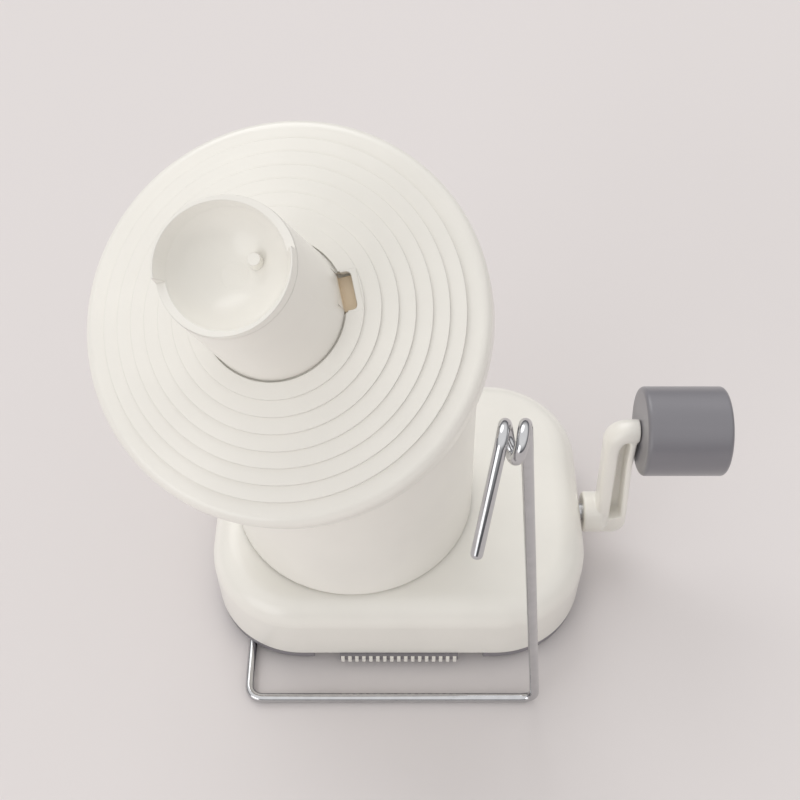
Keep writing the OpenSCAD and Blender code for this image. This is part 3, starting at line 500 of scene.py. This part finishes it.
def add_guide(plated):
    """Bent wire guide as one round tube with eased ends."""
    route = wire_route()
    spread = [(route[0].lerp(route[1], share), ease) for share, ease in CLIP_EASE]
    spread += [(point, 1.0) for point in route[1:-1]]
    last = (route[-1] - route[-2]).normalized()
    spread += [(route[-1] - last * back, ease) for back, ease in TAIL_EASE]
    rings, side = [], Vector((0.0, 0.0, 1.0))
    for i, (point, ease) in enumerate(spread):
        before, after = spread[max(i - 1, 0)][0], spread[min(i + 1, len(spread) - 1)][0]
        way = (after - before).normalized()
        side = (side - way * side.dot(way)).normalized()
        across = way.cross(side)
        rays = [side * math.cos(t) + across * math.sin(t) for t in ring_angles(WIRE_SIDES)]
        rings.append([at(*(point + ray * WIRE_R * ease)) for ray in rays])
    mesh = bmesh.new()
    loft(mesh, rings)
    wire = new_piece("plated_guide", mesh, plated)
    smooth(wire)
    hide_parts("wire_guide")
    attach(wire, "guide")


def lip_outline():
    """Outline of the window's lip: the window's three sides, and back round the slot's."""
    outline = [
        (SLOT_IN, -WINDOW_HALF), (WINDOW_END, -WINDOW_HALF),
        (WINDOW_END, WINDOW_HALF), (SLOT_IN, WINDOW_HALF), (SLOT_IN, SLOT_HALF),
    ]
    for middle, first_deg in ((SLOT_HALF - SLOT_ROUND, 90.0), (SLOT_ROUND - SLOT_HALF, 0.0)):
        for k in range(SLOT_STEPS + 1):
            a = math.radians(first_deg - 90.0 * k / SLOT_STEPS)
            x = SLOT_END - SLOT_ROUND + SLOT_ROUND * math.cos(a)
            outline.append((x, middle + SLOT_ROUND * math.sin(a)))
    return outline + [(SLOT_IN, -SLOT_HALF)]


def lip_top(x, y):
    """Height of the lip's top, which follows the plate's."""
    return LIP_TOP - LIP_SLOPE * max(0.0, math.hypot(x, y) - LIP_LEVEL_R)


def add_window_lip(white):
    """Lip round the latch's window in the plate, which leaves a slot with rounded corners."""
    turn = spindle_turn() @ Matrix.Rotation(math.radians(LATCH_DIR_DEG), 3, "Z")

    def place(x, y, z):
        return at(*(SPINDLE_AT + turn @ Vector((x, y, z))))

    outline = lip_outline()
    low = [place(x, y, LIP_LOW) for x, y in outline]
    top = [place(x, y, lip_top(x, y)) for x, y in outline]
    mesh = bmesh.new()
    loft(mesh, [low, top])
    lip = new_piece("window_lip", mesh, white)
    smooth(lip)
    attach(lip, "spindle")


def add_floor():
    """Plain pale floor, which also fills the view."""
    mesh = bpy.data.meshes.new("floor")
    half = FLOOR_HALF
    corners = [(-half, -half, 0), (half, -half, 0), (half, half, 0), (-half, half, 0)]
    mesh.from_pydata(corners, [], [(0, 1, 2, 3)])
    floor = bpy.data.objects.new("floor", mesh)
    floor.location.z = -FLOOR_DROP
    bpy.context.scene.collection.objects.link(floor)
    material, _, shader = new_material("pale_floor")
    shader.inputs["Base Color"].default_value = FLOOR_COLOR
    shader.inputs["Roughness"].default_value = FLOOR_ROUGHNESS
    shader.inputs["Specular IOR Level"].default_value = FLOOR_SPECULAR
    mesh.materials.append(material)


def add_sky():
    """Soft surround, paler overhead than at the sides; gloss and the camera see other colours."""
    world = bpy.data.worlds.new("studio")
    world.use_nodes = True
    tree = world.node_tree
    coords = tree.nodes.new("ShaderNodeTexCoord")
    split = tree.nodes.new("ShaderNodeSeparateXYZ")
    tree.links.new(coords.outputs["Generated"], split.inputs["Vector"])
    path = tree.nodes.new("ShaderNodeLightPath")
    light = color_ramp(tree, split.outputs["Z"], SKY_LOW, SKY_HIGH, SKY_BAND)
    mirrored = color_ramp(tree, split.outputs["Z"], MIRROR_LOW, MIRROR_HIGH, MIRROR_BAND)
    pick = tree.nodes.new("ShaderNodeMix")
    pick.data_type = "RGBA"
    tree.links.new(path.outputs["Is Glossy Ray"], pick.inputs["Factor"])
    tree.links.new(light, pick.inputs[MIX_A])
    tree.links.new(mirrored, pick.inputs[MIX_B])
    back = tree.nodes.new("ShaderNodeMix")
    back.data_type = "RGBA"
    back.inputs[MIX_B].default_value = BACKDROP
    tree.links.new(path.outputs["Is Camera Ray"], back.inputs["Factor"])
    tree.links.new(pick.outputs[MIX_OUT], back.inputs[MIX_A])
    shade = tree.nodes["Background"]
    shade.inputs["Strength"].default_value = SKY_STRENGTH
    tree.links.new(back.outputs[MIX_OUT], shade.inputs["Color"])
    bpy.context.scene.world = world


def add_lamp(name, source, spread_deg, strength):
    """Broad soft lamp, far off towards source, as even over the floor as a large studio panel."""
    data = bpy.data.lights.new(name, "SUN")
    data.angle = math.radians(spread_deg)
    data.energy = strength
    lamp = bpy.data.objects.new(name, data)
    lamp.location = source
    lamp.rotation_euler = (-Vector(source)).to_track_quat("-Z", "Y").to_euler()
    bpy.context.scene.collection.objects.link(lamp)


def add_camera():
    """The photograph's view."""
    data = bpy.data.cameras.new("camera")
    data.lens = CAMERA_LENS_MM
    data.sensor_width = SENSOR_MM
    data.clip_start = CAMERA_NEAR
    camera = bpy.data.objects.new("camera", data)
    camera.location = CAMERA_AT
    camera.rotation_euler = (math.radians(CAMERA_TILT_DEG), 0.0, 0.0)
    bpy.context.scene.collection.objects.link(camera)
    bpy.context.scene.camera = camera


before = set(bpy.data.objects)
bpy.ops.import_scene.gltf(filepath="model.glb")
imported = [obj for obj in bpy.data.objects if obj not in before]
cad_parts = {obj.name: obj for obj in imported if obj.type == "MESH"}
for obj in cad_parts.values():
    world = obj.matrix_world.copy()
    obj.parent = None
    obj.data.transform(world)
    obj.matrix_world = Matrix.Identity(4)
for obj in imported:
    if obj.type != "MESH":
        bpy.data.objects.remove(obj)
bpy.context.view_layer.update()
bpy.context.scene.view_settings.view_transform = "Standard"
finishes = dress(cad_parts)
add_arm(finishes["white_moulding"])
add_pin(finishes["drawn_steel"])
add_guide(finishes["plated_wire"])
add_window_lip(finishes["white_moulding"])
add_camera()
add_floor()
add_sky()
for lamp_look in LAMPS:
    add_lamp(*lamp_look)
